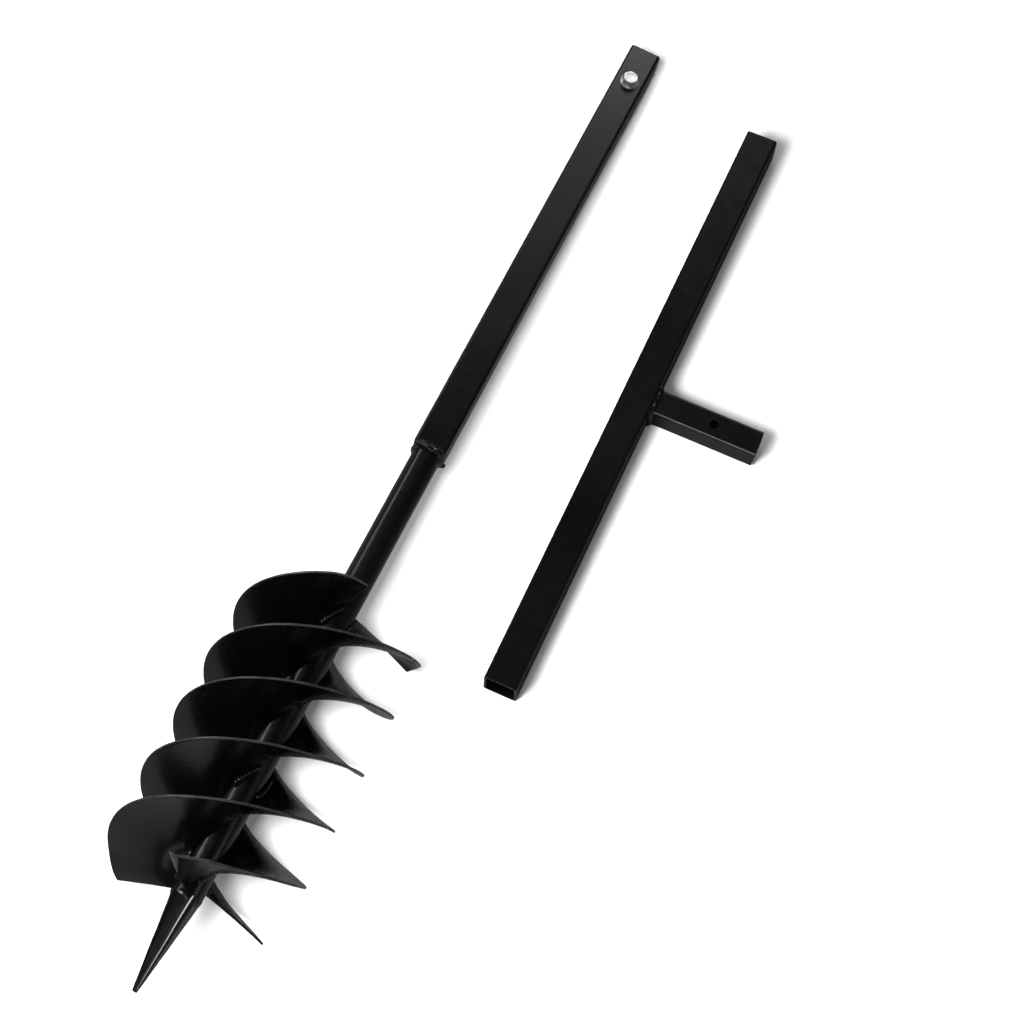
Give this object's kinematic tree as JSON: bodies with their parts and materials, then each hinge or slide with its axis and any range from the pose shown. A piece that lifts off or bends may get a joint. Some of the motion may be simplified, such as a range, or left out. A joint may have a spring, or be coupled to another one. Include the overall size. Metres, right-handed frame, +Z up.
{
  "type": "hand-turned soil auger",
  "caption": "Hand-turned soil auger: steel shaft with right-hand helical flighting, pointed tip and square socket, with its detached T-handle lying beside it.",
  "frame": {"origin": "bottom centre of the outline of the two pieces as they lie on the ground, ground at z = 0", "axes": "+Z up from the ground; +Y from the pilot point toward the socket mouth, along the T-handle's cross bar; +X along the T-handle's stub, away from the auger shaft"},
  "size_m": [0.331, 0.993, 0.1749],
  "materials": {
    "black_enamel": "gloss",
    "black_weld": "gloss",
    "zinc": "polished"
  },
  "bodies": {
    "auger": {"socket_tube": "black_enamel", "core_tube": "black_enamel", "socket_weld": "black_weld", "flight_1": "black_enamel", "flight_2": "black_enamel", "flight_3": "black_enamel", "flight_1_weld": "black_weld", "flight_2_weld": "black_weld", "flight_3_weld": "black_weld", "pilot_point": "black_enamel", "pilot_weld": "black_weld"},
    "bolt": {"lock_bolt": "zinc"},
    "nut": {"lock_nut": "zinc", "nut_washer": "zinc"},
    "handle": {"cross_bar": "black_enamel", "stub_tube": "black_enamel", "stub_weld": "black_weld"}
  },
  "joints": [
    {"name": "bolt_withdraw", "type": "slide", "parent": "auger", "child": "bolt", "axis": [0.1045, 0.0825, 0.9911], "range_m": [0, 0.06]},
    {"name": "nut_turn", "type": "hinge", "parent": "auger", "child": "nut", "pos_m": [-0.08959, 0.4507, 0.00537], "axis": [0.1045, 0.0825, 0.9911], "continuous": true},
    {"name": "handle_swing", "type": "hinge", "parent": "auger", "child": "handle", "pos_m": [0.21339, 0.45932, 0.015], "axis": [0, 0, 1], "range_deg": [0, 270]}
  ]
}
